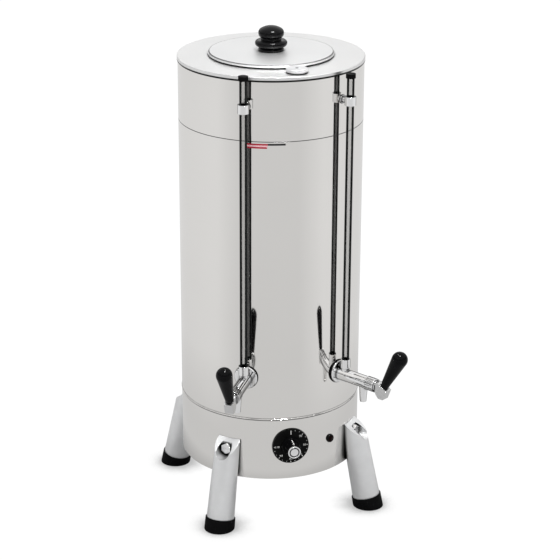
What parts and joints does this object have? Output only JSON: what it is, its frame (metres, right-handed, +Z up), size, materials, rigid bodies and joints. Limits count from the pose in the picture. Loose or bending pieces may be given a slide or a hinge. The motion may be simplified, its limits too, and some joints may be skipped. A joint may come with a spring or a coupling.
{
  "type": "coffee urn",
  "caption": "Round polished-steel coffee urn on splayed cast legs, with a lift-off lid, lever taps with level gauges and a thermostat dial.",
  "frame": {"origin": "on the floor plane, on the body's axis", "axes": "+Z up, the front with the dial and taps towards -Y, +X to the right seen from the front"},
  "size_m": [0.3243, 0.4127, 0.81],
  "materials": {
    "polished_steel": "polished",
    "chrome_fittings": "polished",
    "cast_aluminium": "satin",
    "heater_sheath": "dull",
    "brass_parts": "plain",
    "black_bakelite": "gloss",
    "black_plate": "satin",
    "dark_lens": "gloss",
    "black_rubber": "matte",
    "clear_glass": "clear"
  },
  "bodies": {
    "urn": {"base_skirt": "polished_steel", "body_shell": "polished_steel", "upper_shell": "polished_steel", "deck": "polished_steel", "coffee_tank": "polished_steel", "boiler_floor": "polished_steel", "bottom_cover": "polished_steel", "cover_screws": "chrome_fittings", "cord_grommet": "black_rubber", "fill_neck": "polished_steel", "heating_element": "heater_sheath", "thermostat": "heater_sheath", "thermostat_bulb": "brass_parts", "thermostat_nut": "brass_parts", "dial_plate": "black_plate", "pilot_lamp": "black_plate", "pilot_lens": "dark_lens", "leg_front_left": "cast_aluminium", "leg_front_right": "cast_aluminium", "leg_rear_left": "cast_aluminium", "leg_rear_right": "cast_aluminium", "foot_front_left": "black_rubber", "foot_front_right": "black_rubber", "foot_rear_left": "black_rubber", "foot_rear_right": "black_rubber", "leg_bolts": "chrome_fittings", "leg_washers": "chrome_fittings", "leg_nuts": "chrome_fittings", "coffee_outlet_pipe": "polished_steel", "water_tap_body": "chrome_fittings", "coffee_tap_body": "chrome_fittings", "tap_gaskets": "black_rubber", "tap_washers": "chrome_fittings", "tap_locknuts": "brass_parts", "tap_bonnets": "chrome_fittings", "water_spring": "chrome_fittings", "coffee_spring": "chrome_fittings", "gauge_glasses": "clear_glass", "gauge_nuts": "chrome_fittings", "gauge_seals": "black_rubber", "gauge_caps": "black_rubber", "gauge_brackets": "chrome_fittings", "bracket_nuts": "chrome_fittings"},
    "lid": {"lid": "polished_steel", "lid_knob": "black_bakelite", "lid_knob_screw": "chrome_fittings"},
    "fill_cap": {"fill_cap": "chrome_fittings"},
    "dial_knob": {"dial_spindle": "chrome_fittings", "dial_knob": "black_bakelite", "dial_knob_cap": "chrome_fittings"},
    "water_valve": {"water_stem": "brass_parts", "water_valve_seal": "black_rubber"},
    "coffee_valve": {"coffee_stem": "brass_parts", "coffee_valve_seal": "black_rubber"},
    "water_lever": {"water_lever": "cast_aluminium", "water_lever_pin": "chrome_fittings", "water_handle": "black_bakelite"},
    "coffee_lever": {"coffee_lever": "cast_aluminium", "coffee_lever_pin": "chrome_fittings", "coffee_handle": "black_bakelite"}
  },
  "joints": [
    {"name": "lid_lift", "type": "slide", "parent": "urn", "child": "lid", "axis": [0, 0, 1], "range_m": [0, 0.25]},
    {"name": "fill_cap_lift", "type": "slide", "parent": "urn", "child": "fill_cap", "axis": [0, 0, 1], "range_m": [0, 0.08]},
    {"name": "dial_turn", "type": "hinge", "parent": "urn", "child": "dial_knob", "pos_m": [-0.01438, -0.14931, 0.1405], "axis": [0.0958, 0.9954, 0], "range_deg": [0, 270]},
    {"name": "water_valve_slide", "type": "slide", "parent": "urn", "child": "water_valve", "axis": [-0.5519, -0.8339, 0], "range_m": [0, 0.00502], "deforming": ["water_spring"]},
    {"name": "water_lever_pull", "type": "hinge", "parent": "water_valve", "child": "water_lever", "pos_m": [-0.13373, -0.20205, 0.26], "axis": [0.8339, -0.5519, 0], "range_deg": [0, 45], "stiffness_Nm_per_rad": 0.08, "springref_deg": -68.75},
    {"name": "coffee_valve_slide", "type": "slide", "parent": "urn", "child": "coffee_valve", "axis": [0.4924, -0.8704, 0], "range_m": [0, 0.00502], "deforming": ["coffee_spring"]},
    {"name": "coffee_lever_pull", "type": "hinge", "parent": "coffee_valve", "child": "coffee_lever", "pos_m": [0.11931, -0.21089, 0.252], "axis": [0.8704, 0.4924, 0], "range_deg": [0, 45], "stiffness_Nm_per_rad": 0.08, "springref_deg": -68.75}
  ],
  "couplings": [
    {"joint": "water_valve_slide", "follows": "water_lever_pull", "m_per_rad": 0.00637},
    {"joint": "coffee_valve_slide", "follows": "coffee_lever_pull", "m_per_rad": 0.00637}
  ]
}
